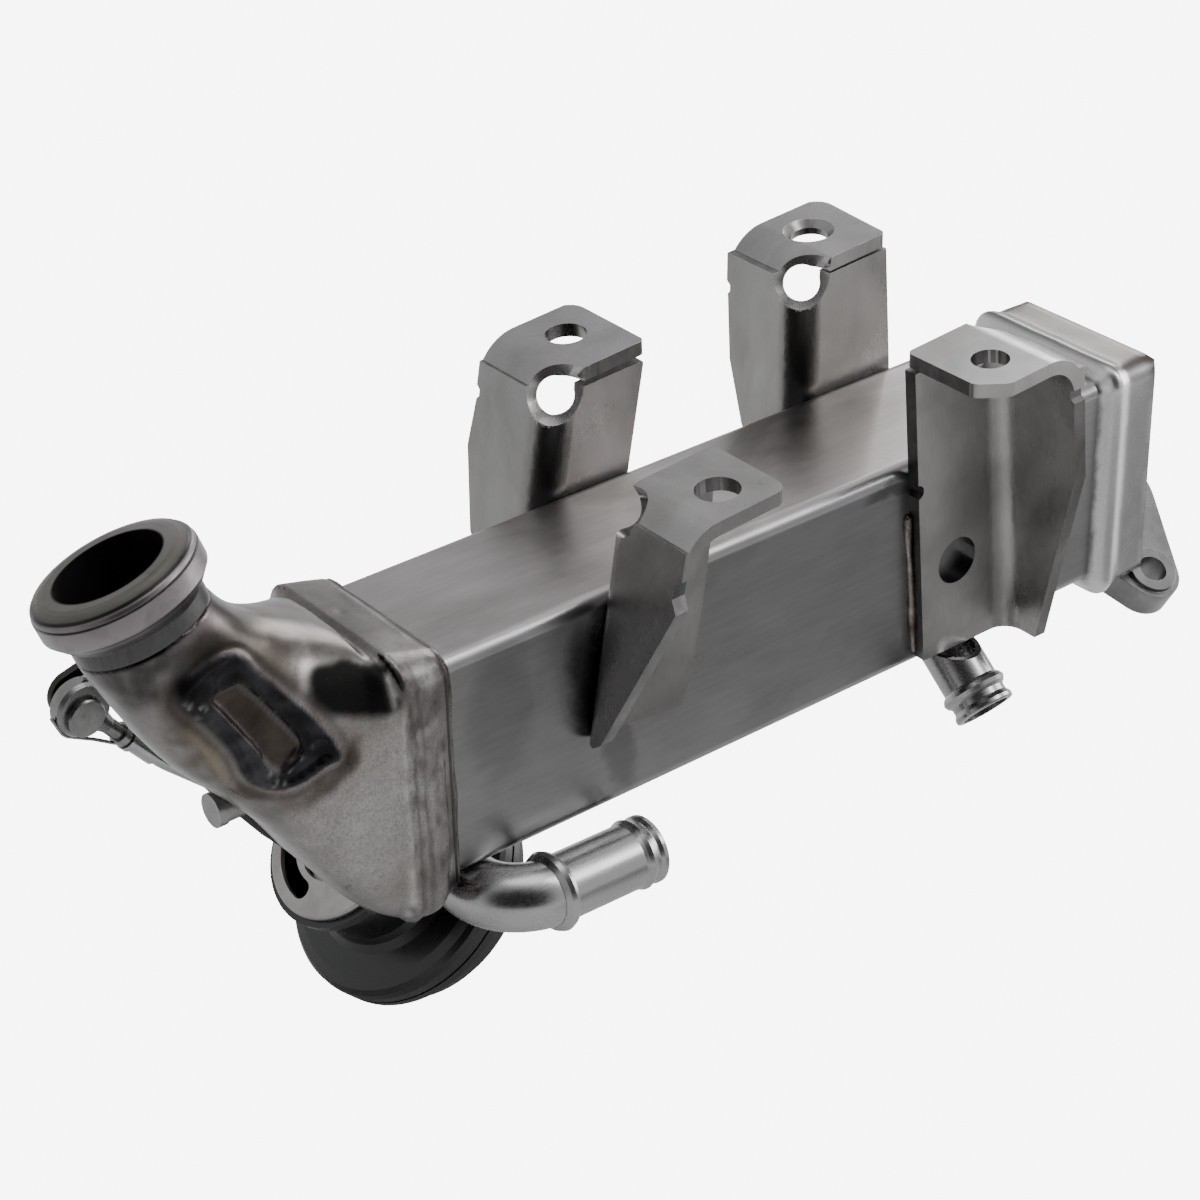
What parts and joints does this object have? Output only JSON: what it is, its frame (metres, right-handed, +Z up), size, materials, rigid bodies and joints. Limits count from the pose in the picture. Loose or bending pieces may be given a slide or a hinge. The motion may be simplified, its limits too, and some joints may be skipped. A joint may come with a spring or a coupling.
{
  "type": "EGR cooler with bypass flap",
  "caption": "Rectangular exhaust gas cooler with an elbow inlet, four bolt-on brackets, coolant stubs and a vacuum-driven bypass flap.",
  "frame": {"origin": "centre of the gas inlet's sealing face", "axes": "+X along the shell from inlet to outlet, +Y away from the side with the front brackets, +Z up to the bracket tops"},
  "size_m": [0.3729, 0.129, 0.1877],
  "materials": {
    "brushed_sheet": "satin brushed stainless",
    "cast_steel": "grainy satin with heat tint",
    "flange_steel": "turned, dull",
    "core_steel": "satin",
    "pressed_steel": "satin",
    "pipe_steel": "polished tube",
    "bracket_steel": "rolled sheet, satin",
    "zinc_steel": "zinc plated",
    "bright_steel": "bright",
    "end_plate_steel": "light grey satin",
    "black_paint": "satin black",
    "rubber": "matt"
  },
  "bodies": {
    "cooler": {"cooler_shell": "brushed_sheet", "inlet_housing": "cast_steel", "window_cover": "cast_steel", "blanking_plug": "cast_steel", "inlet_flange": "flange_steel", "inlet_tube_plate": "core_steel", "outlet_tube_plate": "core_steel", "gas_tubes": "core_steel", "bypass_tube": "core_steel", "baffle_plates": "core_steel", "divider_plate": "core_steel", "outlet_header": "pressed_steel", "outlet_flange": "pressed_steel", "coolant_pipe_front": "pipe_steel", "coolant_pipe_rear": "pipe_steel", "bracket_rear_left": "bracket_steel", "bracket_rear_right": "bracket_steel", "bracket_front_left": "bracket_steel", "bracket_front_right": "bracket_steel", "front_bush": "core_steel", "rear_bush": "core_steel", "actuator_end_plate": "end_plate_steel", "actuator_housing": "black_paint", "actuator_cover": "black_paint", "diaphragm": "rubber", "return_spring": "zinc_steel", "vacuum_nipple": "zinc_steel", "actuator_bracket": "black_paint", "actuator_studs": "zinc_steel", "actuator_nuts": "zinc_steel"},
    "flap": {"flap_shaft": "core_steel", "flap_plate": "core_steel", "flap_screws": "core_steel", "lever_arm": "zinc_steel", "ball_stud": "bright_steel"},
    "rod": {"ball_socket": "bright_steel", "socket_clip": "zinc_steel", "rod_sleeve": "bright_steel", "actuator_rod": "bright_steel"},
    "piston": {"piston_cup": "zinc_steel"}
  },
  "joints": [
    {"name": "flap_turn", "type": "hinge", "parent": "cooler", "child": "flap", "pos_m": [0.0248, 0.0325, -0.0547], "axis": [0, -1, 0], "range_deg": [0, 45]},
    {"name": "rod_swing", "type": "hinge", "parent": "flap", "child": "rod", "pos_m": [0.0066, 0.0325, -0.0592], "axis": [0, -1, 0], "range_deg": [-46.5, 0]},
    {"name": "piston_slide", "type": "slide", "parent": "cooler", "child": "piston", "axis": [0.7071, 0, -0.7071], "range_m": [0, 0.01415], "stiffness_N_per_m": 800, "springref_m": -0.002, "deforming": ["return_spring", "diaphragm"]}
  ],
  "couplings": [
    {"joint": "flap_turn", "follows": "piston_slide", "rad_per_m": 55.505},
    {"joint": "rod_swing", "follows": "piston_slide", "rad_per_m": -53.42}
  ]
}
